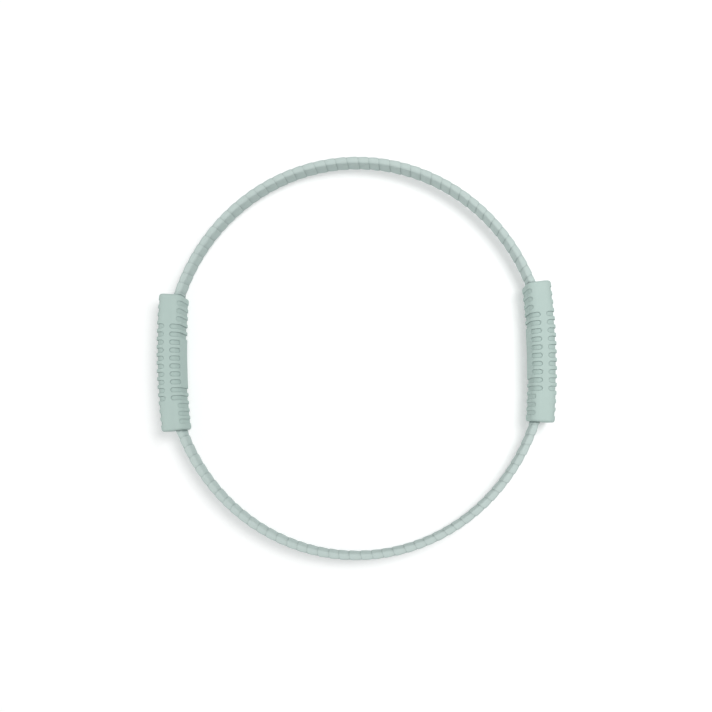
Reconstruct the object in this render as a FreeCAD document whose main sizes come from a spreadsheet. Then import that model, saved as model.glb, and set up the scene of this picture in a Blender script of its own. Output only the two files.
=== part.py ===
# Pilates ring: an oval hoop of two spring leaves, wound with cushioned tape, and two moulded grips.
# Millimetres, +Z up. The ring lies flat on its grips, with the origin on the floor under its centre.
# The grips stand at +X and -X, and the hoop's free arcs reach to +Y and -Y.
# Each piece is drawn about the ring's mid plane and lifted by half the grip's height.

import FreeCAD
import Part
import Sketcher

import bisect
import math
import os

from FreeCAD import Placement, Rotation, Vector

# Driving sizes: name, value in millimetres or a count, and what it measures
SIZES = [
    ("hoop_width", 364.0, "across the hoop from grip to grip, over the tape"),
    ("hoop_length", 380.0, "across the hoop's free arcs, over the tape"),
    ("leaf_thickness", 1.0, "spring leaf, radially"),
    ("leaf_height", 12.5, "spring leaf, along the ring's axis"),
    ("leaf_gap", 0.1, "between neighbouring leaves"),
    ("tape_clearance", 0.15, "between the leaves and the tape"),
    ("tape_thickness", 1.75, "tape at the thin edge of a turn"),
    ("tape_lap", 0.55, "rise of each turn over the edge of the last one"),
    ("tape_pitch", 10.3, "from turn to turn"),
    ("tape_corner", 1.6, "bend of the tape round the leaves' corners"),
    ("tape_tuck", 8.5, "length of the tape hidden in a grip's end"),
    ("grip_length", 129.5, "grip, end to end"),
    ("grip_width", 23.5, "grip, radially"),
    ("grip_height", 34.0, "grip, along the ring's axis"),
    ("grip_bow_share", 0.27, "grip's bow as a share of the hoop's over the same length"),
    ("hoop_out_share", 0.34, "share of the hoop's way across the grip that lies outside its centreline"),
    ("grip_edge", 8.0, "rounding of the grip's long edges"),
    ("grip_end", 1.5, "bevel of the grip's end edges"),
    ("rubber_wall", 3.0, "rubber over the core"),
    ("rubber_end", 10.0, "rubber beyond the core at each end of the grip"),
    ("mouth_clearance", 0.3, "between the tape and the grip's mouth"),
    ("groove_width", 4.7, "one groove, along the grip"),
    ("groove_depth", 1.2, "one groove"),
    ("groove_rows", 16, "rows along the grip"),
    ("groove_margin", 8.1, "from the grip's end to the middle of the first row"),
    ("short_rows", 3, "rows at each end that only cross the grip's edges"),
    ("side_rows", 2, "rows next to the short ones that run down the palm side"),
    ("crown_width", 5.2, "smooth strip along the middle of the grip's top"),
    ("short_reach", 3.5, "short rows' reach over the grip's top from either side"),
    ("panel_drop", 6.1, "from the grip's top down to the bare panel on the palm side"),
    ("core_fit", 0.1, "between the core halves and the rubber"),
    ("seat_clearance", 0.2, "between the leaves and the core halves"),
    ("screw_diameter", 3.5, "core screw's shank"),
    ("screw_head", 6.0, "core screw's head, across its corners"),
    ("screw_head_height", 2.4, "core screw's head, along its axis"),
    ("screw_clamp", 5.0, "plastic between the screw's head and the parting face"),
    ("screw_bite", 4.5, "screw's length in the outer core half"),
    ("screw_clearance", 0.1, "round the screw and past its tip"),
    ("screw_spacing", 72.0, "between the screws along the grip"),
    ("screw_rise", 18.8, "between the upper and the lower screw"),
]

LEAF_COUNT = 2

# How many chords stand for a quarter turn of the tape, and of the edges of the grip, its grooves and its core
TAPE_CHORDS = 1
GRIP_CHORDS = 3
GROOVE_CHORDS = 2
CORE_CHORDS = 2
SPINE_SAMPLES = 2000

doc = FreeCAD.newDocument("pilates_ring")
sheet = doc.addObject("Spreadsheet::Sheet", "Sizes")
for row, (alias, value, note) in enumerate(SIZES, start=1):
    sheet.set(f"A{row}", note)
    sheet.set(f"B{row}", str(value))
    sheet.setAlias(f"B{row}", alias)
doc.recompute()


class Measure:
    """A size worked out from the sheet: the expression that drives the model, and its present value."""

    def __init__(self, text, value):
        self.text = text
        self.value = value

    def join(self, sign, other, value):
        return Measure(f"({self.text} {sign} {other.text})", value)

    def __add__(self, other):
        other = measure(other)
        return self.join("+", other, self.value + other.value)

    def __sub__(self, other):
        other = measure(other)
        return self.join("-", other, self.value - other.value)

    def __mul__(self, other):
        other = measure(other)
        return self.join("*", other, self.value * other.value)

    def __truediv__(self, other):
        other = measure(other)
        return self.join("/", other, self.value / other.value)

    def __neg__(self):
        return self * -1

    def root(self):
        return Measure(f"sqrt({self.text})", math.sqrt(self.value))


def measure(number):
    return number if isinstance(number, Measure) else Measure(f"({number})", number)


def size(alias):
    return Measure(f"Sizes.{alias}", float(sheet.get(alias)))


def on_ellipse(half_x, half_y, y):
    """How far an ellipse stands from the YZ plane at a given y."""
    share = y / half_y
    return half_x * (measure(1) - share * share).root()


# Half axes of the ellipse midway through the leaves
PACK = size("leaf_thickness") * LEAF_COUNT + size("leaf_gap") * (LEAF_COUNT - 1)
COVER = size("tape_clearance") + size("tape_thickness") + size("tape_lap")
HALF_HOOP = PACK / 2 + COVER
SPINE_X = size("hoop_width") / 2 - HALF_HOOP
SPINE_Y = size("hoop_length") / 2 - HALF_HOOP

# The grip bows less than the hoop, which runs across it from its outer side at mid length to its palm side
HALF_LENGTH = size("grip_length") / 2
HALF_WIDTH = size("grip_width") / 2
HALF_HEIGHT = size("grip_height") / 2
HOOP_BOW = SPINE_X - on_ellipse(SPINE_X, SPINE_Y, HALF_LENGTH)
GRIP_BOW = HOOP_BOW * size("grip_bow_share")
GRIP_SET_IN = (HOOP_BOW - GRIP_BOW) * size("hoop_out_share")
BEND = (HALF_LENGTH * HALF_LENGTH + GRIP_BOW * GRIP_BOW) / (GRIP_BOW * 2)
BEND_X = BEND - SPINE_X + GRIP_SET_IN
GROOVE_PITCH = (size("grip_length") - size("groove_margin") * 2) / (size("groove_rows") - 1)
CROWN_EDGE = size("crown_width") / 2
SHORT_EDGE = HALF_WIDTH - size("short_reach")
PANEL_TOP = HALF_HEIGHT - size("panel_drop")

# The hoop's bend where it passes through a grip
HOOP_BEND = SPINE_Y * SPINE_Y / SPINE_X
HOOP_BEND_X = SPINE_X - HOOP_BEND

# The core halves, which part along the leaves' outer face, and their screws
PARTING = PACK / 2 + size("seat_clearance")
CORE_INSET = size("rubber_wall") + size("core_fit")
ROOM_LENGTH = size("grip_length") - size("rubber_end") * 2
CORE_LENGTH = ROOM_LENGTH - size("core_fit") * 2
SCREW_Y = size("screw_spacing") / 2
SCREW_Z = size("screw_rise") / 2
SCREW_X = on_ellipse(SPINE_X + PARTING, SPINE_Y + PARTING, SCREW_Y)
SCREW_SEAT = SCREW_X - size("screw_clamp")
SCREW_HOLE = size("screw_diameter") + size("screw_clearance") * 2
SCREW_PLACES = [(SCREW_Y, SCREW_Z), (-SCREW_Y, -SCREW_Z)]

DEGREES = measure(180 / math.pi)

# Sketcher's number for the origin, and the order in which it counts a curve and its points
ORIGIN = (-1, 1)
CURVE_POINTS = ["whole", "start", "end", "centre"]
START = CURVE_POINTS.index("start")
END = CURVE_POINTS.index("end")
CENTRE = CURVE_POINTS.index("centre")


def new_body(name):
    body = doc.addObject("PartDesign::Body", name)
    body.AllowCompound = True
    return body


def new_sketch(body, name, plane):
    sketch = body.newObject("Sketcher::SketchObject", name)
    support = [feature for feature in body.Origin.OriginFeatures if feature.Role == plane][0]
    sketch.AttachmentSupport = [(support, "")]
    sketch.MapMode = "FlatFace"
    return sketch


def drive(sketch, kind, *geometry, by):
    """Adds a dimension to a sketch and binds it to the sheet."""
    index = sketch.addConstraint(Sketcher.Constraint(kind, *geometry, by.value))
    name = f"{kind}_{index}"
    sketch.renameConstraint(index, name)
    sketch.setExpression(f"Constraints.{name}", by.text)


def drive_point(sketch, curve, point, across, up):
    drive(sketch, "DistanceX", *ORIGIN, curve, point, by=across)
    drive(sketch, "DistanceY", *ORIGIN, curve, point, by=up)


def add_ellipse(sketch, offset):
    """Adds the ellipse that runs at an offset from the hoop's spine, outward."""
    half_x = SPINE_X + offset
    half_y = SPINE_Y + offset
    wide = (half_x, Vector(half_x.value, 0, 0), "Horizontal")
    long = (half_y, Vector(0, half_y.value, 0), "Vertical")
    (major, major_end, lie), (minor, minor_end, _) = sorted((wide, long), key=lambda axis: -axis[0].value)
    ellipse = sketch.addGeometry(Part.Ellipse(major_end, minor_end, Vector(0, 0, 0)))
    sketch.exposeInternalGeometry(ellipse)
    major_line, minor_line = ellipse + 1, ellipse + 2
    sketch.addConstraint(Sketcher.Constraint("Coincident", ellipse, CENTRE, *ORIGIN))
    sketch.addConstraint(Sketcher.Constraint(lie, major_line))
    drive(sketch, "Distance", major_line, by=major * 2)
    drive(sketch, "Distance", minor_line, by=minor * 2)


def add_circles(sketch, diameter, places):
    for across, up in places:
        centre = Vector(across.value, up.value, 0)
        circle = sketch.addGeometry(Part.Circle(centre, Vector(0, 0, 1), diameter.value / 2))
        drive(sketch, "Diameter", circle, by=diameter)
        drive_point(sketch, circle, CENTRE, across, up)


def add_hoop_bend(sketch, offset, shift=0):
    """Adds the circle that follows the hoop through a grip, at an offset from its spine, outward."""
    add_circles(sketch, (HOOP_BEND + offset) * 2, [(HOOP_BEND_X + shift, measure(0))])


def add_outline(sketch, corners):
    """Adds a closed outline of straight lines."""
    lines = []
    for number, (across, up) in enumerate(corners):
        next_across, next_up = corners[(number + 1) % len(corners)]
        begin = Vector(across.value, up.value, 0)
        end = Vector(next_across.value, next_up.value, 0)
        lines.append(sketch.addGeometry(Part.LineSegment(begin, end)))
    for number, (across, up) in enumerate(corners):
        ends = (lines[number - 1], END, lines[number], START)
        sketch.addConstraint(Sketcher.Constraint("Coincident", *ends))
        drive_point(sketch, lines[number], START, across, up)


def pad(body, sketch, name, length):
    feature = body.newObject("PartDesign::Pad", name)
    feature.Profile = sketch
    feature.SideType = "Symmetric"
    feature.setExpression("Length", length.text)
    doc.recompute()
    return feature


def pocket(body, sketch, name, depth=None):
    """Cuts an outline out of a body on both sides of the sketch: right through, or to a depth."""
    before = body.Shape.Volume
    feature = body.newObject("PartDesign::Pocket", name)
    feature.Profile = sketch
    feature.SideType = "Symmetric"
    if depth is None:
        feature.Type = "ThroughAll"
    else:
        feature.setExpression("Length", (depth * 2).text)
    doc.recompute()
    if not body.Shape.Volume < before:
        raise RuntimeError(f"{name} cuts nothing")


def bevel_ends(body, block, name, amount):
    """Bevels the edges round a bowed block's two end faces."""
    feature = body.newObject("PartDesign::Chamfer", name)
    faces = [face for face in block.Shape.Faces if abs(face.normalAt(0, 0).y) > 0.9]
    ends = [edge for face in faces for edge in face.Edges]
    chosen = []
    for number, edge in enumerate(block.Shape.Edges, start=1):
        if any(edge.isSame(end) for end in ends):
            chosen.append(f"Edge{number}")
    feature.Base = (block, chosen)
    feature.setExpression("Size", amount.text)
    doc.recompute()


def finish(piece, node):
    """Names a piece and lifts it to where it lies when the grips rest on the floor."""
    piece.setExpression("Placement.Base.z", HALF_HEIGHT.text)
    piece.Label = node
    return piece


def cut(name, base, tool):
    piece = doc.addObject("Part::Cut", name)
    piece.Base = base
    piece.Tool = tool
    doc.recompute()
    return piece


def collect(name, pieces):
    compound = doc.addObject("Part::Compound", name)
    compound.Links = pieces
    doc.recompute()
    return compound


# Spring leaves
def spring_leaf(node, place):
    """One closed band of spring steel, counted from the inside."""
    name = f"Leaf{place}"
    body = new_body(name)
    inner = (size("leaf_thickness") + size("leaf_gap")) * place - PACK / 2
    plan = new_sketch(body, f"{name}Plan", "XY_Plane")
    add_ellipse(plan, inner)
    add_ellipse(plan, inner + size("leaf_thickness"))
    pad(body, plan, f"{name}Pad", size("leaf_height"))
    return finish(body, node)


# Tape
def spine_points():
    """Points along one free arc of the spine with their outward normals, by running length."""
    half_x, half_y = SPINE_X.value, SPINE_Y.value
    start = math.asin((HALF_LENGTH - size("tape_tuck")).value / half_y)
    points = []
    length = 0.0
    for number in range(SPINE_SAMPLES + 1):
        turn = start + (math.pi - 2 * start) * number / SPINE_SAMPLES
        point = Vector(half_x * math.cos(turn), half_y * math.sin(turn), 0)
        normal = Vector(half_y * math.cos(turn), half_x * math.sin(turn), 0).normalize()
        if points:
            length += point.distanceToPoint(points[-1][1])
        points.append((length, point, normal))
    return points


def rounded_section(half_width, half_height, corner):
    """A rounded rectangle across the hoop as points, each an offset outward and upward."""
    section = []
    for quarter, (sign_out, sign_up) in enumerate(((1, 1), (-1, 1), (-1, -1), (1, -1))):
        for chord in range(TAPE_CHORDS + 1):
            angle = math.pi / 2 * (quarter + chord / TAPE_CHORDS)
            out = sign_out * (half_width - corner) + corner * math.cos(angle)
            up = sign_up * (half_height - corner) + corner * math.sin(angle)
            section.append((out, up))
    return section


def tape_wrap(node, name, side):
    """Tape wound in a helix over one free arc: each turn slopes up to its edge, which laps the next turn.

    Both wraps are wound the same way, so one is the other turned half round the ring's axis."""
    spine = spine_points()
    lengths = [length for length, _, _ in spine]
    total = lengths[-1]
    bore_out = (PACK / 2 + size("tape_clearance")).value
    bore_up = (size("leaf_height") / 2 + size("tape_clearance")).value
    thin = size("tape_thickness").value
    lap = size("tape_lap").value
    corner = size("tape_corner").value
    sides = 4 * (TAPE_CHORDS + 1)

    # The helix runs between square ends, hidden in the grips; its edge rises out of the turns beside it
    end_run = size("tape_pitch").value / 2
    turns = round((total - 2 * end_run) / size("tape_pitch").value)
    pitch = (total - 2 * end_run) / turns
    last = turns * sides
    start_level = end_run / (end_run + pitch)
    last_level = pitch / (end_run + pitch)

    def place(along, out, up):
        at = min(max(bisect.bisect_left(lengths, along), 1), len(spine) - 1)
        share = (along - lengths[at - 1]) / (lengths[at] - lengths[at - 1])
        point = spine[at - 1][1] + (spine[at][1] - spine[at - 1][1]) * share
        normal = spine[at - 1][2] + (spine[at][2] - spine[at - 1][2]) * share
        point = point + normal * out
        return Vector(-side * point.x, side * point.y, up)

    def on_tape(along, step, level):
        rise = thin + lap * level
        section = rounded_section(bore_out + rise, bore_up + rise, corner + lap * level)
        return place(along, *section[step % sides])

    def edge_point(step, top):
        """A point on the tape's edge, at the top or the foot of the lap."""
        grown = min(step / sides, (last - step) / sides, 1.0)
        level = start_level if step < last / 2 else last_level
        return on_tape(end_run + pitch * step / sides, step, level + (top - level) * grown)

    foot = [edge_point(step, 0.0) for step in range(last + 1)]
    edge = [edge_point(step, 1.0) for step in range(last + 1)]
    first_rim = [on_tape(0.0, step, 0.0) for step in range(sides + 1)]
    last_rim = [on_tape(total, step, 1.0) for step in range(sides + 1)]
    faces = []

    def add(*corners):
        faces.append(Part.Face(Part.makePolygon([*corners, corners[0]])))

    # Slopes from each turn's foot to the next turn's edge; the first and last ones end at the rims
    for step in range(sides - 1):
        add(first_rim[step], first_rim[step + 1], edge[step + 1])
        add(first_rim[step], edge[step + 1], edge[step])
    add(first_rim[sides - 1], first_rim[0], foot[0])
    add(first_rim[sides - 1], foot[0], edge[sides - 1])
    add(edge[sides - 1], foot[0], edge[sides])
    for step in range(last - sides):
        add(foot[step], foot[step + 1], edge[step + sides + 1])
        add(foot[step], edge[step + sides + 1], edge[step + sides])
    add(foot[last - sides], foot[last - sides + 1], edge[last])
    add(foot[last - sides + 1], last_rim[1], edge[last])
    add(edge[last], last_rim[1], last_rim[0])
    for step in range(1, sides):
        begin = last - sides + step
        add(foot[begin], foot[begin + 1], last_rim[step + 1])
        add(foot[begin], last_rim[step + 1], last_rim[step])

    # The standing edge of each lap
    add(edge[0], edge[1], foot[1])
    for step in range(1, last - 1):
        add(edge[step], edge[step + 1], foot[step + 1])
        add(edge[step], foot[step + 1], foot[step])
    add(edge[last - 1], edge[last], foot[last - 1])

    # The bore over the leaves, and the square ends
    corners = [(bore_out, bore_up), (-bore_out, bore_up), (-bore_out, -bore_up), (bore_out, -bore_up)]
    rings = [[place(total * number / turns, *corner) for corner in corners] for number in range(turns + 1)]
    for ring, following in zip(rings, rings[1:]):
        for number in range(4):
            beside = (number + 1) % 4
            add(ring[number], ring[beside], following[beside])
            add(ring[number], following[beside], following[number])
    for rim, ring in ((first_rim[:-1], rings[0]), (last_rim[:-1], rings[-1])):
        outline = Part.makePolygon([*rim, rim[0]])
        hole = Part.makePolygon([*reversed(ring), ring[-1]])
        faces.append(Part.Face([outline, hole]))

    shell = Part.makeShell(faces)
    shell.sewShape()
    solid = Part.makeSolid(Part.Shell(shell.Faces))
    if solid.Volume < 0:
        solid.reverse()
    piece = doc.addObject("Part::Feature", name)
    piece.Shape = solid
    return finish(piece, node)


# Grip blank
def edge_points(radius, chords):
    """A quarter turn round the centre of the grip's edge, from top to side, as offsets outward and upward."""
    points = []
    for number in range(chords + 1):
        angle = math.pi / 2 * number / chords
        out = HALF_WIDTH - size("grip_edge") + radius * math.sin(angle)
        up = HALF_HEIGHT - size("grip_edge") + radius * math.cos(angle)
        points.append((out, up))
    return points


def turn_about_bend(body, section, name, length):
    """Turns a section about the grip's bend, to a length along the grip's centreline."""
    feature = body.newObject("PartDesign::Revolution", name)
    feature.Profile = section
    feature.ReferenceAxis = (section, ["V_Axis"])
    feature.Midplane = True
    feature.setExpression("Angle", (length / BEND * DEGREES).text)
    body.setExpression("Placement.Base.x", (-BEND_X).text)
    doc.recompute()
    return feature


def grip_blank(name, inset, length, chords):
    """A bowed block with rounded long edges: the grip's outer form, set in all round by an inset."""
    body = new_body(name)
    section = new_sketch(body, f"{name}Section", "XZ_Plane")
    upper = edge_points(size("grip_edge") - inset, chords)
    outer = upper + [(out, -up) for out, up in reversed(upper)]
    inner = [(-out, up) for out, up in reversed(outer)]
    add_outline(section, [(BEND + out, up) for out, up in outer + inner])
    return body, turn_about_bend(body, section, f"{name}Turn", length)


# Grip sleeve
def height_at(line, out):
    """How high a line of points stands at an offset outward."""
    number = [point[0].value > out.value for point in line].index(True)
    before, after = line[number - 1], line[number]
    share = (out - before[0]) / (after[0] - before[0])
    return before[1] + (after[1] - before[1]) * share


def offset_at(line, up):
    """How far outward a falling line of points stands at a height."""
    number = [point[1].value < up.value for point in line].index(True)
    before, after = line[number - 1], line[number]
    share = (before[1] - up) / (before[1] - after[1])
    return before[0] + (after[0] - before[0]) * share


def groove_rows(name, side, first_row, count, crown, panel=None):
    """Cutters for rows of grooves round the grip's bend: over one side, or only up to the palm panel."""
    body = new_body(name)
    section = new_sketch(body, f"{name}Section", "XZ_Plane")
    depth = size("groove_depth")
    clear_up = HALF_HEIGHT + depth
    clear_out = HALF_WIDTH + depth
    floor = [(measure(0), HALF_HEIGHT - depth), *edge_points(size("grip_edge") - depth, GROOVE_CHORDS)]
    beyond_crown = [point for point in floor if point[0].value > crown.value]
    near_end = [(crown, clear_up), (crown, height_at(floor, crown))]
    if panel is None:
        upper = [*near_end, *beyond_crown]
        lower = [(out, -up) for out, up in reversed(upper)]
        outlines = [[*upper, *lower, (clear_out, -clear_up), (clear_out, clear_up)]]
    else:
        between = [point for point in beyond_crown if point[1].value > panel.value]
        far_end = [(offset_at(floor, panel), panel), (clear_out, panel), (clear_out, clear_up)]
        upper = [*near_end, *between, *far_end]
        outlines = [upper, [(out, -up) for out, up in upper]]
    for outline in outlines:
        add_outline(section, [(BEND + out * side, up) for out, up in outline])

    groove = turn_about_bend(body, section, f"{name}Turn", size("groove_width"))
    rows = body.newObject("PartDesign::PolarPattern", f"{name}Rows")
    rows.Originals = [groove]
    rows.Axis = (section, ["V_Axis"])
    rows.Mode = "Spacing"
    row_turn = GROOVE_PITCH / BEND * DEGREES
    rows.setExpression("Offset", row_turn.text)
    rows.setExpression("Occurrences", count.text)
    body.Tip = rows
    body.Placement = Placement(body.Placement.Base, Rotation(Vector(0, 0, 1), 1))
    first_turn = (first_row - (size("groove_rows") - 1) / 2) * row_turn
    body.setExpression("Placement.Rotation.Angle", first_turn.text)
    doc.recompute()
    return body


def grip_sleeve(node):
    """The rubber moulding: hollow for the core, open at its ends for the hoop, and grooved."""
    blank, block = grip_blank("Sleeve", measure(0), size("grip_length"), GRIP_CHORDS)
    bevel_ends(blank, block, "SleeveEnds", size("grip_end"))
    room, _ = grip_blank("CoreRoom", size("rubber_wall"), ROOM_LENGTH, CORE_CHORDS)
    hollow = cut("HollowSleeve", blank, room)

    mouth = new_body("Mouth")
    plan = new_sketch(mouth, "MouthPlan", "XY_Plane")
    reach = HALF_HOOP + size("mouth_clearance")
    add_hoop_bend(plan, -reach)
    add_hoop_bend(plan, reach)
    pad(mouth, plan, "MouthPad", size("leaf_height") + (COVER + size("mouth_clearance")) * 2)
    open_sleeve = cut("OpenSleeve", hollow, mouth)

    short = size("short_rows")
    beside = size("side_rows")
    rows = size("groove_rows")
    middle = short + beside
    first = measure(0)
    grooves = [
        groove_rows("OuterFirst", 1, first, short, SHORT_EDGE),
        groove_rows("OuterMiddle", 1, short, rows - short * 2, CROWN_EDGE),
        groove_rows("OuterLast", 1, rows - short, short, SHORT_EDGE),
        groove_rows("PalmFirst", -1, first, short, SHORT_EDGE),
        groove_rows("PalmSecond", -1, short, beside, CROWN_EDGE),
        groove_rows("PalmMiddle", -1, middle, rows - middle * 2, CROWN_EDGE, PANEL_TOP),
        groove_rows("PalmFourth", -1, rows - middle, beside, CROWN_EDGE),
        groove_rows("PalmLast", -1, rows - short, short, SHORT_EDGE),
    ]
    return finish(cut("GroovedSleeve", open_sleeve, collect("Grooves", grooves)), node)


# Core halves
def inner_core(node):
    """The palm-side half: a channel for the leaves, and room for the screws' heads."""
    body, _ = grip_blank("InnerCore", CORE_INSET, CORE_LENGTH, CORE_CHORDS)
    beyond = PARTING + size("grip_width")
    parting = new_sketch(body, "InnerCoreParting", "XY_Plane")
    add_hoop_bend(parting, PARTING, BEND_X)
    add_hoop_bend(parting, beyond, BEND_X)
    pocket(body, parting, "InnerCorePart")

    channel = new_sketch(body, "InnerCoreChannel", "XY_Plane")
    add_hoop_bend(channel, -PARTING, BEND_X)
    add_hoop_bend(channel, beyond, BEND_X)
    pocket(body, channel, "InnerCoreSeat", size("leaf_height") / 2 + size("seat_clearance"))

    holes = new_sketch(body, "InnerCoreHoles", "YZ_Plane")
    add_circles(holes, SCREW_HOLE, SCREW_PLACES)
    pocket(body, holes, "InnerCoreDrill")

    heads = new_sketch(body, "InnerCoreHeads", "YZ_Plane")
    add_circles(heads, size("screw_head") + size("screw_clearance") * 2, SCREW_PLACES)
    pocket(body, heads, "InnerCoreBores", BEND_X + SCREW_SEAT)
    return finish(body, node)


def outer_core(node):
    """The outer half: a lid over the leaves, with blind holes for the screws."""
    body, _ = grip_blank("OuterCore", CORE_INSET, CORE_LENGTH, CORE_CHORDS)
    parting = new_sketch(body, "OuterCoreParting", "XY_Plane")
    add_hoop_bend(parting, PARTING + size("core_fit"), BEND_X)
    pocket(body, parting, "OuterCorePart")

    pilots = new_sketch(body, "OuterCorePilots", "YZ_Plane")
    add_circles(pilots, SCREW_HOLE, SCREW_PLACES)
    pocket(body, pilots, "OuterCoreDrill", BEND_X + SCREW_X + size("screw_bite") + size("screw_clearance"))
    return finish(body, node)


# Screws
def lay_along_x(solid, begin, length, y, z):
    """Lays an upright solid down along +X, beginning at a distance from the ring's centre plane."""
    solid.setExpression("Height", length.text)
    solid.Placement = Placement(Vector(0, 0, 0), Rotation(Vector(0, 1, 0), 90))
    for axis, position in zip("xyz", (begin, y, z)):
        solid.setExpression(f"Placement.Base.{axis}", position.text)


def core_screws(node):
    """Hexagon-headed screws that pull the inner core half against the outer one."""
    screws = []
    head_height = size("screw_head_height")
    for number, (y, z) in enumerate(SCREW_PLACES):
        shank = doc.addObject("Part::Cylinder", f"ScrewShank{number}")
        shank.setExpression("Radius", (size("screw_diameter") / 2).text)
        lay_along_x(shank, SCREW_SEAT, size("screw_clamp") + size("screw_bite"), y, z)
        head = doc.addObject("Part::Prism", f"ScrewHead{number}")
        head.Polygon = 6
        head.setExpression("Circumradius", (size("screw_head") / 2).text)
        lay_along_x(head, SCREW_SEAT - head_height, head_height, y, z)
        screw = doc.addObject("Part::MultiFuse", f"Screw{number}")
        screw.Shapes = [shank, head]
        screws.append(screw)
    return finish(collect("CoreScrews", screws), node)


def mirrored(node, name, source):
    """The left grip's pieces are the right grip's, mirrored in the ring's YZ plane."""
    piece = doc.addObject("Part::Mirroring", name)
    piece.Source = source
    piece.Normal = Vector(1, 0, 0)
    piece.Label = node
    return piece


def write(pieces):
    doc.recompute()
    for item in doc.Objects:
        if "Invalid" in item.State or "Error" in item.State:
            raise RuntimeError(f"{item.Name} failed: {item.State}")
    for piece in pieces:
        if piece.Shape.isNull() or not piece.Shape.isValid():
            raise RuntimeError(f"{piece.Label} has no valid shape")
    os.makedirs("parts", exist_ok=True)
    for piece in pieces:
        piece.Shape.exportStep(f"parts/{piece.Label}.step")
        print(f"{piece.Label}: {len(piece.Shape.Solids)} solids, {piece.Shape.Volume / 1000:.3f} cm3")


def main():
    pieces = [
        spring_leaf("inner_spring_leaf", 0),
        spring_leaf("outer_spring_leaf", 1),
        tape_wrap("upper_tape_wrap", "UpperTape", 1),
        tape_wrap("lower_tape_wrap", "LowerTape", -1),
    ]
    right_pieces = [
        grip_sleeve("right_grip_sleeve"),
        inner_core("right_inner_core"),
        outer_core("right_outer_core"),
        core_screws("right_core_screws"),
    ]
    for source in right_pieces:
        node = source.Label.replace("right", "left")
        pieces += [source, mirrored(node, f"Left{source.Name}", source)]
    write(pieces)


if __name__ == "__main__":
    main()
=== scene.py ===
# Pilates ring, dressed: a taped spring hoop and two moulded grips, lying flat on a white floor.
# Metres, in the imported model's frame. The ring's sizes are in millimetres, scaled where points are made.

import math

import bmesh
import bpy
import numpy as np
from mathutils import Matrix, Vector


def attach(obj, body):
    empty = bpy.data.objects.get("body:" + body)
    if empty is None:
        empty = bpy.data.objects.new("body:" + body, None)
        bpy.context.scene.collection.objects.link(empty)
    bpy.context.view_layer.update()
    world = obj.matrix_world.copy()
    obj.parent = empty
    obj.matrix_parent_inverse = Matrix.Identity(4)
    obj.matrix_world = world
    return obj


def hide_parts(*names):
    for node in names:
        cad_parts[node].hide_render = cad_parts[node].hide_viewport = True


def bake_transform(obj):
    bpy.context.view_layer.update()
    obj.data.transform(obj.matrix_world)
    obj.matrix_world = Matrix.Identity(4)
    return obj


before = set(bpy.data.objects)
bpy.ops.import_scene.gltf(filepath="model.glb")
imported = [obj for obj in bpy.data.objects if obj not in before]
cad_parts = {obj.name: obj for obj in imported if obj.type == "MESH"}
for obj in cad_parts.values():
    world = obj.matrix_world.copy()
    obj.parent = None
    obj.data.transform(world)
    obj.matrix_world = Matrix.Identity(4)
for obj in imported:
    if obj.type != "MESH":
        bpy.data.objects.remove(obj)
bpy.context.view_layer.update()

MM = 0.001

# Hoop: half axes of the ellipse midway through the leaves, and the tape round it
SPINE_X = 178.5
SPINE_Y = 186.5
MID_HEIGHT = 17.0
LEAF_THICKNESS = 1.0
LEAF_HEIGHT = 12.5
LEAF_GAP = 0.1
LEAF_EDGE = 0.2
TAPE_OUT = 2.45
TAPE_UP = 8.95
TAPE_CORNER = 1.3
TAPE_CLEARANCE = 0.15
TAPE_LAP = 0.75
TAPE_PITCH = 10.3
TAPE_TUCK = 8.5

# Grip
GRIP_LENGTH = 129.5
GRIP_WIDTH = 23.5
GRIP_HEIGHT = 34.0
GRIP_BOW_SHARE = 0.27
HOOP_OUT_SHARE = 0.34
GRIP_EDGE = 8.0
END_ROUND = 2.4
END_SLIMMING = 0.9
RUBBER_WALL = 3.0
RUBBER_END = 10.0
MOUTH_CLEARANCE = 0.3
LIP_SPREAD = 1.06
LIP_DEPTH = 0.35
GROOVE_WIDTH = 4.7
GROOVE_DEPTH = 1.2
SHORT_DEPTH = 0.8
GROOVE_WALL = 0.55
GROOVE_ROWS = 16
GROOVE_MARGIN = 8.1
SHORT_ROWS = 3
SIDE_ROWS = 2
CROWN_WIDTH = 5.2
SHORT_REACH = 3.5
PANEL_DROP = 6.1


def spine_x(y):
    """How far out the hoop's middle lies at a distance from the crosswise axis."""
    return SPINE_X * math.sqrt(1 - (y / SPINE_Y) ** 2)


HALF_LENGTH = GRIP_LENGTH / 2
HALF_WIDTH = GRIP_WIDTH / 2
HALF_HEIGHT = GRIP_HEIGHT / 2
HOOP_BOW = SPINE_X - spine_x(HALF_LENGTH)
GRIP_BOW = HOOP_BOW * GRIP_BOW_SHARE
GRIP_X = SPINE_X - (HOOP_BOW - GRIP_BOW) * HOOP_OUT_SHARE
BEND = (HALF_LENGTH**2 + GRIP_BOW**2) / (2 * GRIP_BOW)
GROOVE_RADIUS = GROOVE_WIDTH / 2
GROOVE_PITCH = (GRIP_LENGTH - 2 * GROOVE_MARGIN) / (GROOVE_ROWS - 1)


# Materials
# How far the roughness goes up and down over a surface
RUBBER_UNEVENNESS = 0.08
STEEL_UNEVENNESS = 0.1


def new_material(name, colour, roughness):
    material = bpy.data.materials.new(name)
    material.use_nodes = True
    nodes = material.node_tree.nodes
    shader = nodes["Principled BSDF"]
    shader.inputs["Base Color"].default_value = (*colour, 1.0)
    shader.inputs["Roughness"].default_value = roughness
    return material, nodes, material.node_tree.links, shader


def linear(red, green, blue):
    """A colour given as 0 to 255 on screen, as the shader's linear values."""
    shares = [channel / 255 for channel in (red, green, blue)]
    return [share / 12.92 if share <= 0.04045 else ((share + 0.055) / 1.055) ** 2.4 for share in shares]


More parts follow.
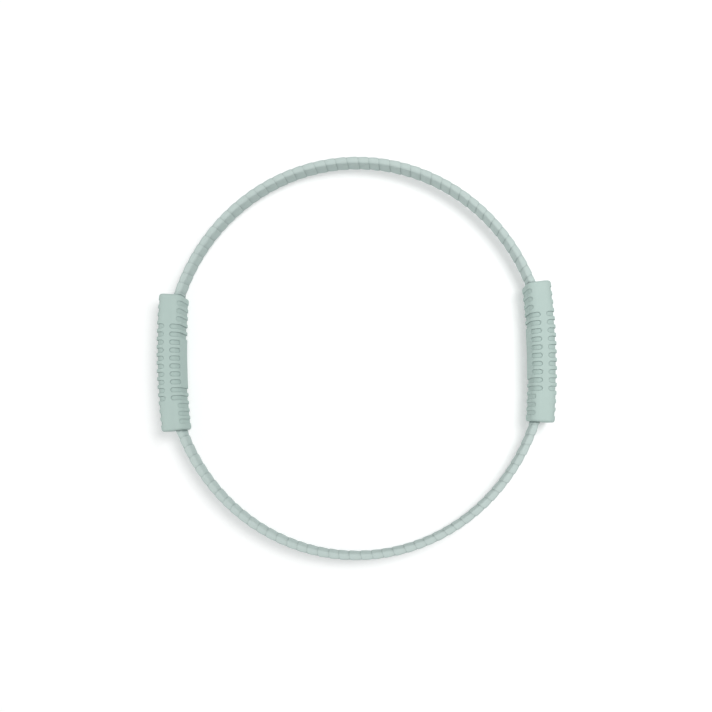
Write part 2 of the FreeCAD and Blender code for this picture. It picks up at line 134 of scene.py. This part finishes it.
def soft_surface(name, colour, worn, attribute, shade, grain, bump, roughness):
    """A matte moulded or foamed surface: grain, mottling, and painted shade in a deeper colour where the
    attribute rises.
    """
    material, nodes, links, shader = new_material(name, linear(*colour), roughness)
    shader.inputs["Specular IOR Level"].default_value = 0.28
    place = nodes.new("ShaderNodeTexCoord")

    mottle = nodes.new("ShaderNodeTexNoise")
    mottle.inputs["Scale"].default_value = 90.0
    mottle.inputs["Detail"].default_value = 4.0
    links.new(place.outputs["Object"], mottle.inputs["Vector"])
    tint = nodes.new("ShaderNodeMix")
    tint.data_type = "RGBA"
    tint.inputs["A"].default_value = (*linear(*colour), 1.0)
    tint.inputs["B"].default_value = (*linear(*worn), 1.0)
    links.new(mottle.outputs["Fac"], tint.inputs["Factor"])

    # Painted shade: the shade colour is mixed in as far as the mesh's attribute rises
    deep = nodes.new("ShaderNodeAttribute")
    deep.attribute_name = attribute
    shaded = nodes.new("ShaderNodeMix")
    shaded.data_type = "RGBA"
    shaded.inputs["B"].default_value = (*linear(*shade), 1.0)
    links.new(deep.outputs["Fac"], shaded.inputs["Factor"])
    links.new(tint.outputs["Result"], shaded.inputs["A"])
    links.new(shaded.outputs["Result"], shader.inputs["Base Color"])

    fine = nodes.new("ShaderNodeTexNoise")
    fine.inputs["Scale"].default_value = grain
    fine.inputs["Detail"].default_value = 6.0
    fine.inputs["Roughness"].default_value = 0.6
    links.new(place.outputs["Object"], fine.inputs["Vector"])
    relief = nodes.new("ShaderNodeBump")
    relief.inputs["Strength"].default_value = bump
    relief.inputs["Distance"].default_value = 0.0003
    links.new(fine.outputs["Fac"], relief.inputs["Height"])
    links.new(relief.outputs["Normal"], shader.inputs["Normal"])

    sheen = nodes.new("ShaderNodeMapRange")
    sheen.inputs["To Min"].default_value = roughness - RUBBER_UNEVENNESS
    sheen.inputs["To Max"].default_value = roughness + RUBBER_UNEVENNESS
    links.new(fine.outputs["Fac"], sheen.inputs["Value"])
    links.new(sheen.outputs["Result"], shader.inputs["Roughness"])
    return material


def brushed_steel(name, colour, roughness):
    material, nodes, links, shader = new_material(name, linear(*colour), roughness)
    shader.inputs["Metallic"].default_value = 1.0
    place = nodes.new("ShaderNodeTexCoord")
    stretch = nodes.new("ShaderNodeMapping")
    stretch.inputs["Scale"].default_value = (40.0, 40.0, 1800.0)
    links.new(place.outputs["Object"], stretch.inputs["Vector"])
    lines = nodes.new("ShaderNodeTexNoise")
    lines.inputs["Scale"].default_value = 1.0
    lines.inputs["Detail"].default_value = 5.0
    links.new(stretch.outputs["Vector"], lines.inputs["Vector"])
    spread = nodes.new("ShaderNodeMapRange")
    spread.inputs["To Min"].default_value = roughness - STEEL_UNEVENNESS
    spread.inputs["To Max"].default_value = roughness + STEEL_UNEVENNESS
    links.new(lines.outputs["Fac"], spread.inputs["Value"])
    links.new(spread.outputs["Result"], shader.inputs["Roughness"])
    relief = nodes.new("ShaderNodeBump")
    relief.inputs["Strength"].default_value = 0.2
    relief.inputs["Distance"].default_value = 0.0001
    links.new(lines.outputs["Fac"], relief.inputs["Height"])
    links.new(relief.outputs["Normal"], shader.inputs["Normal"])
    return material


# Each look's shade colour is painted shade, laid over it where the mesh's attribute rises
TAPE_LOOK = soft_surface(
    "cushion_tape",
    colour=(201, 215, 211),
    worn=(195, 210, 206),
    attribute="lap_painted_shade",
    shade=(120, 136, 134),
    grain=2600.0,
    bump=0.25,
    roughness=0.72,
)
GRIP_LOOK = soft_surface(
    "grip_rubber",
    colour=(190, 209, 203),
    worn=(185, 204, 198),
    attribute="groove_painted_shade",
    shade=(140, 158, 154),
    grain=3800.0,
    bump=0.18,
    roughness=0.62,
)
CORE_LOOK = soft_surface(
    "core_plastic",
    colour=(64, 66, 66),
    worn=(58, 60, 61),
    attribute="groove_painted_shade",
    shade=(50, 52, 52),
    grain=5200.0,
    bump=0.12,
    roughness=0.55,
)
LEAF_LOOK = brushed_steel("spring_steel", colour=(176, 178, 182), roughness=0.34)
SCREW_LOOK = brushed_steel("screw_steel", colour=(196, 196, 198), roughness=0.28)


# Meshes
def new_piece(name, points, faces, material, shade=None):
    """A smooth-shaded mesh from points in millimetres, with an optional painted-shade value per point."""
    mesh = bpy.data.meshes.new(name)
    mesh.from_pydata([tuple(point) for point in np.asarray(points) * MM], [], faces)
    mesh.validate()
    mesh.shade_smooth()
    mesh.materials.append(material)
    if shade is not None:
        attribute = mesh.attributes.new(shade[0], "FLOAT", "POINT")
        attribute.data.foreach_set("value", np.asarray(shade[1], np.float32))
    piece = bpy.data.objects.new(name, mesh)
    bpy.context.scene.collection.objects.link(piece)
    return piece


def tube_faces(rows, count, closed=False):
    """Quads between rows of points that go round a tube, and from the last row to the first if it closes."""
    faces = []
    for row in range(rows if closed else rows - 1):
        here, there = row * count, (row + 1) % rows * count
        for number in range(count):
            beside = (number + 1) % count
            faces.append((here + number, here + beside, there + beside, there + number))
    return faces


# Hoop
# Points to measure the spine by, and rows of the bore of half a tape and of a quarter of a leaf
SPINE_SAMPLES = 3001
BORE_ROWS = 60
LEAF_ROWS = 90
# Edges of a leaf that are sharper than this aren't smoothed over
LEAF_SHARP = math.radians(30)


class Spine:
    """The middle of one arc of the hoop by running length: clockwise from grip to grip, 0 at its crown."""

    def __init__(self, side_y, last_y):
        last = math.asin(last_y / SPINE_Y)
        turns = np.linspace(math.pi - last, last, SPINE_SAMPLES)
        self.points = side_y * np.stack([SPINE_X * np.cos(turns), SPINE_Y * np.sin(turns)], 1)
        normals = side_y * np.stack([SPINE_Y * np.cos(turns), SPINE_X * np.sin(turns)], 1)
        self.normals = normals / np.linalg.norm(normals, axis=1)[:, None]
        steps = np.linalg.norm(np.diff(self.points, axis=0), axis=1)
        lengths = np.concatenate([[0.0], np.cumsum(steps)])
        self.half = lengths[-1] / 2
        self.lengths = lengths - self.half

    def place(self, along, out, up):
        """Points at running lengths, offset outward and upward."""
        centre = np.stack([np.interp(along, self.lengths, self.points[:, axis]) for axis in (0, 1)], 1)
        normal = np.stack([np.interp(along, self.lengths, self.normals[:, axis]) for axis in (0, 1)], 1)
        flat = centre + normal * np.asarray(out)[:, None]
        return np.column_stack([flat, MID_HEIGHT + np.asarray(up)])

    def tube(self, section, stations):
        """A tube of one section, row by row along the stations."""
        same = np.ones(len(stations))
        return np.stack([self.place(stations, out * same, up * same) for out, up in section], 1)


# Points on each run of the tape's section: outer face, bend, top, bend, inner face, bend, underside, bend
RUN_POINTS = [9, 5, 3, 5] * 2
# How steeply the laps cross each run, how strongly the painted shade at their feet shows there, and how deep
# the feet are
LAP_SLOPES = [0.40, 0.25, 0.22, 0.15, 0.04, 0.15, 0.22, 0.25]
LAP_PAINTED_SHADE_STRENGTHS = [0.7, 0.5, 0.22, 0.35, 0.45, 0.6, 0.6, 0.6]
LAP_DEPTHS = [1.0, 0.85, 0.65, 0.7, 0.8, 1.0, 1.0, 1.0]


def section_points(half_out, half_up, corner):
    """A rounded rectangle by its runs: each point, its normal, and the lap's lead, painted-shade strength and
    depth.
    """
    runs = [2 * (half_up - corner), corner * math.pi / 2, 2 * (half_out - corner), corner * math.pi / 2] * 2
    leads = [run * slope for run, slope in zip(runs, LAP_SLOPES)]
    signs = [(1, -1), (1, 1), (-1, 1), (-1, -1)]
    centres = [np.array([out * (half_out - corner), up * (half_up - corner)]) for out, up in signs]
    outline = []
    for run, count in enumerate(RUN_POINTS):
        side, bent = divmod(run, 2)
        begin, end = centres[side], centres[(side + 1) % 4]
        for step in range(count):
            share = (step + 0.5) / count
            angle = math.pi / 2 * (side + bent * share)
            normal = np.array([math.cos(angle), math.sin(angle)])
            centre = end if bent else begin + (end - begin) * share
            lead = (sum(leads[:run]) + share * leads[run]) / sum(leads)
            outline.append((centre + normal * corner, normal, lead, LAP_PAINTED_SHADE_STRENGTHS[run], LAP_DEPTHS[run]))
    return outline


# One turn of tape, as shares of the pitch and of the lap: it rises from the foot to a rounded edge
LAP_PROFILE = [
    (0.000, 0.00),
    (0.035, 0.10),
    (0.100, 0.30),
    (0.220, 0.54),
    (0.380, 0.75),
    (0.540, 0.89),
    (0.700, 0.98),
    (0.820, 1.00),
    (0.905, 0.96),
    (0.955, 0.82),
    (0.985, 0.55),
]
# Painted shade on each row of this profile: deepest at the foot, and some at the edge
LAP_PAINTED_SHADES = [0.95, 0.6, 0.22, 0.05, 0.0, 0.0, 0.0, 0.0, 0.0, 0.0, 0.35]
# The row of a turn at which the two halves of an arc meet, about halfway through it
SEAM_STEP = 5
# Waves in the running length of a tape wound by hand: height, radians per turn, and start
WINDING_WAVES = [(0.45, 1.7, 0.0), (0.35, 0.61, 1.3)]
# Turns of tape that are made past its end, and then cut off
SPARE_TURNS = 3
# Painted shadow of a grip on the tape at its mouth: how far past the grip's end it reaches, and over what
# length it fades
MOUTH_PAINTED_SHADOW_END = 1.2
MOUTH_PAINTED_SHADOW_FADE = 1.6


def wound(turn):
    """Running length at a number of turns from the crown: an even pitch, and the waves of hand winding."""
    waves = [height * np.sin(rate * turn + start) for height, rate, start in WINDING_WAVES]
    return TAPE_PITCH * turn + sum(waves)


def tape_halves(side_y):
    """The tape on one arc: a helical grid whose rows follow the laps, a pitch further after each turn.

    It is parted along one row at the crown. Gives the points, their painted shade and the faces of both
    halves."""
    spine = Spine(side_y, HALF_LENGTH - TAPE_TUCK - SPARE_TURNS * TAPE_PITCH)
    outline = section_points(TAPE_OUT, TAPE_UP, TAPE_CORNER)
    around = len(outline)
    steps = len(LAP_PROFILE)
    turns = int(spine.half / TAPE_PITCH)
    rows = 2 * turns * steps
    turned, out, up, shades = [], [], [], []
    for row in range(rows):
        turn, step = divmod(row, steps)
        share, rise = LAP_PROFILE[step]
        for point, normal, lead, strength, depth in outline:
            offset = point + normal * TAPE_LAP * (1 - depth * (1 - rise))
            turned.append(turn - turns + share + lead)
            out.append(offset[0])
            up.append(offset[1])
            # Painted shade at the feet and edges of the laps, stronger on some faces than on others
            shades.append(LAP_PAINTED_SHADES[step] * strength)
    points = spine.place(wound(np.array(turned)), np.array(out), np.array(up))
    # Painted shadow where the tape goes into a grip's mouth
    beyond = np.abs(points[:, 1]) - HALF_LENGTH - MOUTH_PAINTED_SHADOW_END
    shades = np.maximum(shades, np.clip(-beyond / MOUTH_PAINTED_SHADOW_FADE, 0.0, 1.0))

    seam = (turns - 1) * steps + SEAM_STEP
    halves = [], []
    for row in range(rows - steps - 1):
        for number in range(around):
            here = row * around + number
            there = here + 1 if number + 1 < around else (row + steps) * around
            halves[row >= seam].append((here, here + around, there + around, there))
    return points, shades, halves


def close_end(shape, rim, ring):
    """Faces from each edge of a rim of the tape to the nearest of the four corners of its bore."""
    middle = sum((corner.co for corner in ring), Vector()) / len(ring)
    outward = ring[0].co - ring[-1].co

    def corner_near(point):
        above = point.co.z > middle.z
        outside = (point.co - middle).dot(outward) > 0
        return ring[1 if above else 0] if outside else ring[2 if above else 3]

    for edge in rim:
        edge.smooth = False
        first, second = edge.verts
        corners = [corner_near(second), corner_near(first)]
        if corners[0] == corners[1]:
            corners.pop()
        shape.faces.new((first, second, *corners))


def bore_tape(piece, side_x, side_y):
    """Cuts the tape off square inside the grip, and gives it the bore that the leaves run through."""
    y = HALF_LENGTH - TAPE_TUCK
    place = Vector((side_x * spine_x(y), side_y * y, MID_HEIGHT)) * MM
    onward = Vector((side_x * SPINE_X**2 * y, -side_y * SPINE_Y**2 * spine_x(y), 0.0)).normalized()
    shape = bmesh.new()
    shape.from_mesh(piece.data)
    everything = [*shape.verts, *shape.edges, *shape.faces]
    cut = bmesh.ops.bisect_plane(shape, geom=everything, plane_co=place, plane_no=onward, clear_outer=True)
    end_rim = [item for item in cut["geom_cut"] if isinstance(item, bmesh.types.BMEdge)]
    seam_rim = [edge for edge in shape.edges if edge.is_boundary and edge not in end_rim]
    loose = [point for point in shape.verts if not point.link_faces]
    bmesh.ops.delete(shape, geom=loose, context="VERTS")

    bore_out = LEAF_THICKNESS + LEAF_GAP / 2 + TAPE_CLEARANCE
    bore_up = LEAF_HEIGHT / 2 + TAPE_CLEARANCE
    corners = [(bore_out, -bore_up), (bore_out, bore_up), (-bore_out, bore_up), (-bore_out, -bore_up)]
    spine = Spine(side_y, y)
    rings = []
    for ring in spine.tube(corners, np.linspace(0.0, side_x * side_y * spine.half, BORE_ROWS)):
        rings.append([shape.verts.new(Vector(point) * MM) for point in ring])
    for ring, following in zip(rings, rings[1:]):
        for number in range(len(corners)):
            shape.faces.new((ring[number - 1], ring[number], following[number], following[number - 1]))
    close_end(shape, seam_rim, rings[0])
    close_end(shape, end_rim, rings[-1])
    bmesh.ops.recalc_face_normals(shape, faces=shape.faces)
    shape.to_mesh(piece.data)
    shape.free()


def leaf_quarter(name, side_x, side_y, inner):
    """A quarter of one spring leaf, from the crown of a free arc to the middle of a grip."""
    spine = Spine(side_y, 0.0)
    stations = np.linspace(0.0, side_x * side_y * spine.half, LEAF_ROWS)
    outer = inner + LEAF_THICKNESS
    half = LEAF_HEIGHT / 2
    section = [
        (inner, -half + LEAF_EDGE),
        (inner + LEAF_EDGE, -half),
        (outer - LEAF_EDGE, -half),
        (outer, -half + LEAF_EDGE),
        (outer, half - LEAF_EDGE),
        (outer - LEAF_EDGE, half),
        (inner + LEAF_EDGE, half),
        (inner, half - LEAF_EDGE),
    ]
    count = len(section)
    last = (len(stations) - 1) * count
    faces = tube_faces(len(stations), count)
    faces += [tuple(reversed(range(count))), tuple(range(last, last + count))]
    if side_x * side_y < 0:
        faces = [face[::-1] for face in faces]
    points = spine.tube(section, stations).reshape(-1, 3)
    piece = new_piece(name, points, faces, LEAF_LOOK)
    piece.data.set_sharp_from_angle(angle=LEAF_SHARP)
    return piece


def bend_with_grip(piece):
    """Bakes the piece's placement into its mesh."""
    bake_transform(piece)


for arc, side_y in (("upper", 1), ("lower", -1)):
    tape_points, tape_painted_shades, tape_faces = tape_halves(side_y)
    for hand, side_x in (("left", -1), ("right", 1)):
        half_faces = tape_faces[side_x * side_y > 0]
        # The laps' painted shade and the painted shadow at the grips' mouths
        shade = ("lap_painted_shade", tape_painted_shades)
        tape = new_piece(f"{arc}_{hand}_tape", tape_points, half_faces, TAPE_LOOK, shade)
        bore_tape(tape, side_x, side_y)
        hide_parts(f"{arc}_tape_wrap")
        bend_with_grip(tape)
        for place, leaf in enumerate(("inner", "outer")):
            inner = (LEAF_THICKNESS + LEAF_GAP) * place - LEAF_THICKNESS - LEAF_GAP / 2
            band = leaf_quarter(f"{arc}_{hand}_{leaf}_leaf", side_x, side_y, inner)
            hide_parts(f"{leaf}_spring_leaf")
            bend_with_grip(band)


# Grips
# Rows near and in a groove: on the skin beside it, down its wall, and offsets from its middle on its floor
SKIN_STEP = 0.35
WALL_STEPS = 3
FLOOR_OFFSETS = (1.4, 0.9, 0.45)
# How far outside the outermost groove's edge one more row lies
END_STEP = 1.5
# Points round the section: close together over the top and its edges, then wider apart
FINE_TRAVEL = 15.1
FINE_STEP = 0.36
COARSE_POINTS = 10
# Rows round an end's edge, shares of the way from there to the mouth, and rows of the room inside
EDGE_ROWS = 5
FACE_SHARES = (0.35, 0.7)
ROOM_ROWS = 10
# How square the mouth is: a round one would have 2
MOUTH_POWER = 8.0
# Painted shade on the floor of a groove, and four times the painted shade its walls add halfway down
GROOVE_FLOOR_PAINTED_SHADE = 0.12
GROOVE_WALL_PAINTED_SHADE = 4.0


def edge_travel(out):
    """Length over the grip's top from its crown line to an offset outward."""
    flat = HALF_WIDTH - GRIP_EDGE
    if out <= flat:
        return out
    return flat + GRIP_EDGE * math.asin((out - flat) / GRIP_EDGE)


# Length round half of the grip's section, from the top crown line to the bottom one
HALF_TURN = 2 * (HALF_WIDTH - GRIP_EDGE + GRIP_EDGE * math.pi / 2 + HALF_HEIGHT - GRIP_EDGE)


def section_at(travel):
    """Point and normal of the grip's section at a travel from its top crown line, out and down one side."""
    mirrored = travel > HALF_TURN / 2
    if mirrored:
        travel = HALF_TURN - travel
    flat = HALF_WIDTH - GRIP_EDGE
    bend = GRIP_EDGE * math.pi / 2
    if travel <= flat:
        point, normal = (travel, HALF_HEIGHT), (0.0, 1.0)
    elif travel <= flat + bend:
        angle = (travel - flat) / GRIP_EDGE
        normal = (math.sin(angle), math.cos(angle))
        point = (flat + GRIP_EDGE * normal[0], HALF_HEIGHT - GRIP_EDGE + GRIP_EDGE * normal[1])
    else:
        point = (HALF_WIDTH, HALF_HEIGHT - GRIP_EDGE - (travel - flat - bend))
        normal = (1.0, 0.0)
    if mirrored:
        point, normal = (point[0], -point[1]), (normal[0], -normal[1])
    return point, normal


def rows_from_end(row):
    """How many rows of grooves lie between this one and the nearer end of the grip."""
    return min(row, GROOVE_ROWS - 1 - row)


def grooves_of_row(row):
    """The grooves of one row: the side (outer 1, palm -1), and where each begins and ends on its travel."""
    from_end = rows_from_end(row)
    short = edge_travel(HALF_WIDTH - SHORT_REACH)
    if from_end < SHORT_ROWS:
        return [(1, short, HALF_TURN - short), (-1, short, HALF_TURN - short)]
    crown = edge_travel(CROWN_WIDTH / 2)
    grooves = [(1, crown, HALF_TURN - crown)]
    if from_end < SHORT_ROWS + SIDE_ROWS:
        grooves.append((-1, crown, HALF_TURN - crown))
    else:
        panel = HALF_WIDTH - GRIP_EDGE + GRIP_EDGE * math.acos(1 - PANEL_DROP / GRIP_EDGE)
        grooves.append((-1, crown, panel))
        grooves.append((-1, HALF_TURN - panel, HALF_TURN - crown))
    return grooves


def groove_middle(row):
    return (row - (GROOVE_ROWS - 1) / 2) * GROOVE_PITCH


def ease(share):
    share = np.clip(share, 0.0, 1.0)
    return share * share * (3 - 2 * share)


def groove_depths(along, side, travel):
    """Depth of the grooves along a line of stations, and the painted shade in them."""
    depth = np.zeros(len(along))
    shade = np.zeros(len(along))
    for row in range(GROOVE_ROWS):
        floor_depth = SHORT_DEPTH if rows_from_end(row) < SHORT_ROWS else GROOVE_DEPTH
        for groove_side, begin, end in grooves_of_row(row):
            if groove_side != side:
                continue
            past = max(begin + GROOVE_RADIUS - travel, travel - end + GROOVE_RADIUS, 0.0)
            inside = GROOVE_RADIUS - np.hypot(along - groove_middle(row), past)
            share = ease(inside / GROOVE_WALL)
            depth += floor_depth * share
            strength = floor_depth / GROOVE_DEPTH
            # Painted shade in the groove: a little on its floor, most halfway down its walls
            shade += strength * (GROOVE_FLOOR_PAINTED_SHADE * share + GROOVE_WALL_PAINTED_SHADE * share * (1 - share))
    return depth, shade


def grip_stations():
    """Stations along the grip: close together at the walls of the grooves."""
    wall = [GROOVE_RADIUS - GROOVE_WALL * step / WALL_STEPS for step in range(WALL_STEPS + 1)]
    half = [GROOVE_RADIUS + SKIN_STEP, *wall, *FLOOR_OFFSETS]
    stations = [0.0]
    for row in range(GROOVE_ROWS):
        stations += [groove_middle(row) + sign * offset for sign in (-1, 1) for offset in half]
        stations.append(groove_middle(row))
    margins = (END_ROUND, GROOVE_MARGIN - GROOVE_RADIUS - END_STEP)
    stations += [sign * (HALF_LENGTH - margin) for sign in (-1, 1) for margin in margins]
    return np.array(sorted(set(round(station, 4) for station in stations)))


def grip_ring():
    """Side and travel of each point round the section: close where grooves end, wider down the sides."""
    fine = list(np.arange(0.0, FINE_TRAVEL, FINE_STEP))
    coarse = list(np.linspace(FINE_TRAVEL, HALF_TURN / 2, COARSE_POINTS))
    half = fine + coarse
    travels = half + [HALF_TURN - travel for travel in reversed(half[:-1])]
    return [(1, travel) for travel in travels] + [(-1, travel) for travel in reversed(travels[1:-1])]


def on_grip(along, out, up, slimming=END_SLIMMING):
    """A point of a bowed grip at +X, from a length along its centreline and offsets outward and upward."""
    angle = along / BEND
    drawn_in = slimming * (along / HALF_LENGTH) ** 2 * max(np.mean(out) / HALF_WIDTH, 0.0)
    reach = BEND + out - drawn_in
    return np.stack([GRIP_X - BEND + reach * np.cos(angle), reach * np.sin(angle), MID_HEIGHT + up], -1)


def inset_row(ring, along, inset, slimming=END_SLIMMING):
    """One row of points round the grip, set in from its skin."""
    row = []
    for side, travel in ring:
        (out, up), (normal_out, normal_up) = section_at(travel)
        row.append(on_grip(along, side * (out - inset * normal_out), up - inset * normal_up, slimming))
    return np.array(row)


def mouth_outline(angles, tilt):
    """The mouth's rounded rectangle in the directions given, about the hoop's centre."""
    half_out = (TAPE_OUT + TAPE_LAP + MOUTH_CLEARANCE) / math.cos(tilt)
    half_up = TAPE_UP + TAPE_LAP + MOUTH_CLEARANCE
    across = np.abs(np.cos(angles) / half_out) ** MOUTH_POWER
    upward = np.abs(np.sin(angles) / half_up) ** MOUTH_POWER
    scale = (across + upward) ** (-1 / MOUTH_POWER)
    return scale * np.cos(angles), scale * np.sin(angles)


def end_rows(ring, sign):
    """Rows from the skin round one end's edge, across its face and through the mouth round the hoop."""
    rows = []
    for angle in np.linspace(0, math.pi / 2, EDGE_ROWS + 1)[1:]:
        inset = END_ROUND * (1 - math.cos(angle))
        rows.append(inset_row(ring, sign * (HALF_LENGTH - END_ROUND + END_ROUND * math.sin(angle)), inset))
    face = rows[-1]
    order = np.argsort(face[:, 0])
    middle = spine_x(HALF_LENGTH)
    tilt = math.atan(SPINE_X**2 * HALF_LENGTH / (SPINE_Y**2 * middle))
    mouth_out, mouth_up = mouth_outline(np.arctan2(face[:, 2] - MID_HEIGHT, face[:, 0] - middle), tilt)

    def mouth_row(depth, spread):
        across = spine_x(HALF_LENGTH - depth) + mouth_out * spread
        along = np.interp(across, face[order, 0], face[order, 1]) - sign * depth
        return np.stack([across, along, MID_HEIGHT + mouth_up * spread], 1)

    lip = mouth_row(0.0, LIP_SPREAD)
    rows += [face * (1 - share) + lip * share for share in FACE_SHARES]
    rows += [lip, mouth_row(LIP_DEPTH, 1.0), mouth_row(RUBBER_END, 1.0)]
    return rows


def grip(name, side_x):
    """One grip: a bowed rubber sleeve with grooves, rounded ends with mouths, and room for the core."""
    ring = grip_ring()
    stations = grip_stations()
    count = len(ring)
    skin = np.zeros((len(stations), count, 3))
    shade = np.zeros((len(stations), count))
    for number, (side, travel) in enumerate(ring):
        (out, up), (normal_out, normal_up) = section_at(travel)
        depth, shade[:, number] = groove_depths(stations, side, travel)
        skin[:, number] = on_grip(stations, side * (out - depth * normal_out), up - depth * normal_up)

    room_end = HALF_LENGTH - RUBBER_END
    room_places = np.linspace(room_end, -room_end, ROOM_ROWS)
    room = [inset_row(ring, along, RUBBER_WALL, slimming=0.0) for along in room_places]
    first = end_rows(ring, -1)[::-1]
    rows = [*first, *skin, *end_rows(ring, 1), *room]
    shades = np.zeros((len(rows), count))
    # Painted shade in the grooves, and none on the ends or the room
    shades[len(first) : len(first) + len(stations)] = shade
    points = np.concatenate(rows)
    points[:, 0] *= side_x
    faces = tube_faces(len(rows), count, closed=True)
    if side_x < 0:
        faces = [face[::-1] for face in faces]
    return new_piece(name, points, faces, GRIP_LOOK, ("groove_painted_shade", shades.ravel()))


for hand, side_x in (("left", -1), ("right", 1)):
    sleeve = grip(f"{hand}_grip", side_x)
    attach(sleeve, f"{hand}_handle")
    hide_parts(f"{hand}_grip_sleeve")
    for node, look in (("inner_core", CORE_LOOK), ("outer_core", CORE_LOOK), ("core_screws", SCREW_LOOK)):
        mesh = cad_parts[f"{hand}_{node}"].data
        mesh.materials.clear()
        mesh.materials.append(look)


# Floor, light and camera
# Distances from the ring's centre between which the floor's glow makes up for the lamps' falling light
GLOW_NEAR = 0.25
GLOW_FAR = 2.0


def seen_directly(nodes, links):
    """1 where the camera, a reflection or a clear material looks, and 0 where light only bounces."""
    path = nodes.new("ShaderNodeLightPath")
    watched = nodes.new("ShaderNodeMath")
    watched.operation = "ADD"
    links.new(path.outputs["Is Camera Ray"], watched.inputs[0])
    links.new(path.outputs["Is Glossy Ray"], watched.inputs[1])
    direct = nodes.new("ShaderNodeMath")
    direct.operation = "ADD"
    direct.use_clamp = True
    links.new(watched.outputs["Value"], direct.inputs[0])
    links.new(path.outputs["Is Transmission Ray"], direct.inputs[1])
    return direct.outputs["Value"]


def floor_look(seen, glow, far_glow, bounced):
    """White where the camera sees it, apart from the shadows, and a pale grey in the light it throws back."""
    material = bpy.data.materials.new("floor_white")
    material.use_nodes = True
    nodes, links = material.node_tree.nodes, material.node_tree.links
    nodes.remove(nodes["Principled BSDF"])
    white = nodes.new("ShaderNodeBsdfDiffuse")
    white.inputs["Color"].default_value = (seen, seen, seen, 1.0)
    place = nodes.new("ShaderNodeTexCoord")
    distance = nodes.new("ShaderNodeVectorMath")
    distance.operation = "LENGTH"
    links.new(place.outputs["Object"], distance.inputs[0])
    rise = nodes.new("ShaderNodeMapRange")
    rise.inputs["From Min"].default_value = GLOW_NEAR
    rise.inputs["From Max"].default_value = GLOW_FAR
    rise.inputs["To Min"].default_value = glow
    rise.inputs["To Max"].default_value = far_glow
    links.new(distance.outputs["Value"], rise.inputs["Value"])
    lift = nodes.new("ShaderNodeEmission")
    links.new(rise.outputs["Result"], lift.inputs["Strength"])
    lifted = nodes.new("ShaderNodeAddShader")
    links.new(white.outputs["BSDF"], lifted.inputs[0])
    links.new(lift.outputs["Emission"], lifted.inputs[1])
    grey = nodes.new("ShaderNodeBsdfDiffuse")
    grey.inputs["Color"].default_value = (*bounced, 1.0)
    chosen = nodes.new("ShaderNodeMixShader")
    links.new(seen_directly(nodes, links), chosen.inputs["Fac"])
    links.new(grey.outputs["BSDF"], chosen.inputs[1])
    links.new(lifted.outputs["Shader"], chosen.inputs[2])
    links.new(chosen.outputs["Shader"], nodes["Material Output"].inputs["Surface"])
    return material


def floor(look):
    mesh = bpy.data.meshes.new("floor")
    reach = 6.0
    corners = [(-reach, -reach, 0), (reach, -reach, 0), (reach, reach, 0), (-reach, reach, 0)]
    mesh.from_pydata(corners, [], [(0, 1, 2, 3)])
    mesh.materials.append(look)
    piece = bpy.data.objects.new("floor", mesh)
    bpy.context.scene.collection.objects.link(piece)


def area_light(name, place, aim, power, width, height, shadow=True):
    data = bpy.data.lights.new(name, "AREA")
    data.shape = "RECTANGLE"
    data.size = width
    data.size_y = height
    data.energy = power
    data.use_shadow = shadow
    lamp = bpy.data.objects.new(name, data)
    lamp.location = place
    lamp.rotation_euler = (Vector(aim) - Vector(place)).to_track_quat("-Z", "Y").to_euler()
    bpy.context.scene.collection.objects.link(lamp)


# Camera: place in metres, tilt to +X and +Y and roll in radians, then focal length, shift and image in pixels
CAMERA_PLACE = Vector((0.0345, -0.0659, 0.6704))
CAMERA_TILT = (-0.0523, 0.0169)
CAMERA_ROLL = -0.0239
CAMERA_PIXELS = 689.7
CENTRE_DROP = 60.1
IMAGE_PIXELS = 712.0


def camera():
    data = bpy.data.cameras.new("camera")
    data.sensor_width = 36.0
    data.lens = CAMERA_PIXELS / IMAGE_PIXELS * data.sensor_width
    data.shift_y = CENTRE_DROP / IMAGE_PIXELS
    data.clip_start = 0.01
    data.clip_end = 50.0
    item = bpy.data.objects.new("camera", data)
    forward = Vector((math.tan(CAMERA_TILT[0]), math.tan(CAMERA_TILT[1]), -1.0)).normalized()
    top = Vector((-math.sin(CAMERA_ROLL), math.cos(CAMERA_ROLL), 0.0))
    right = forward.cross(top).normalized()
    top = right.cross(forward)
    turn = Matrix((right, top, -forward)).transposed()
    item.matrix_world = Matrix.Translation(CAMERA_PLACE) @ turn.to_4x4()
    bpy.context.scene.collection.objects.link(item)
    bpy.context.scene.camera = item


def world_light(strength, seen, colour):
    """Even light from all round; looked at directly, it is as pale as the far floor."""
    world = bpy.data.worlds.new("studio")
    world.use_nodes = True
    nodes, links = world.node_tree.nodes, world.node_tree.links
    ambient = nodes["Background"]
    ambient.inputs["Color"].default_value = (*colour, 1.0)
    ambient.inputs["Strength"].default_value = strength
    backdrop = nodes.new("ShaderNodeBackground")
    backdrop.inputs["Color"].default_value = (1.0, 1.0, 1.0, 1.0)
    backdrop.inputs["Strength"].default_value = seen
    chosen = nodes.new("ShaderNodeMixShader")
    links.new(seen_directly(nodes, links), chosen.inputs["Fac"])
    links.new(ambient.outputs["Background"], chosen.inputs[1])
    links.new(backdrop.outputs["Background"], chosen.inputs[2])
    links.new(chosen.outputs["Shader"], nodes["World Output"].inputs["Surface"])
    bpy.context.scene.world = world


floor(floor_look(seen=0.92, glow=0.21, far_glow=0.62, bounced=(0.74, 0.765, 0.765)))
world_light(strength=0.42, seen=1.0, colour=(0.985, 1.0, 1.0))
area_light("key", place=(0.47, 0.24, 1.18), aim=(-0.10, -0.08, 0.0), power=7.6, width=0.46, height=0.46)
area_light(
    "fill", place=(-2.0, -0.7, 1.6), aim=(0.0, 0.0, 0.0), power=18.5, width=3.0, height=2.4, shadow=False
)
camera()

scene = bpy.context.scene
scene.view_settings.view_transform = "Standard"
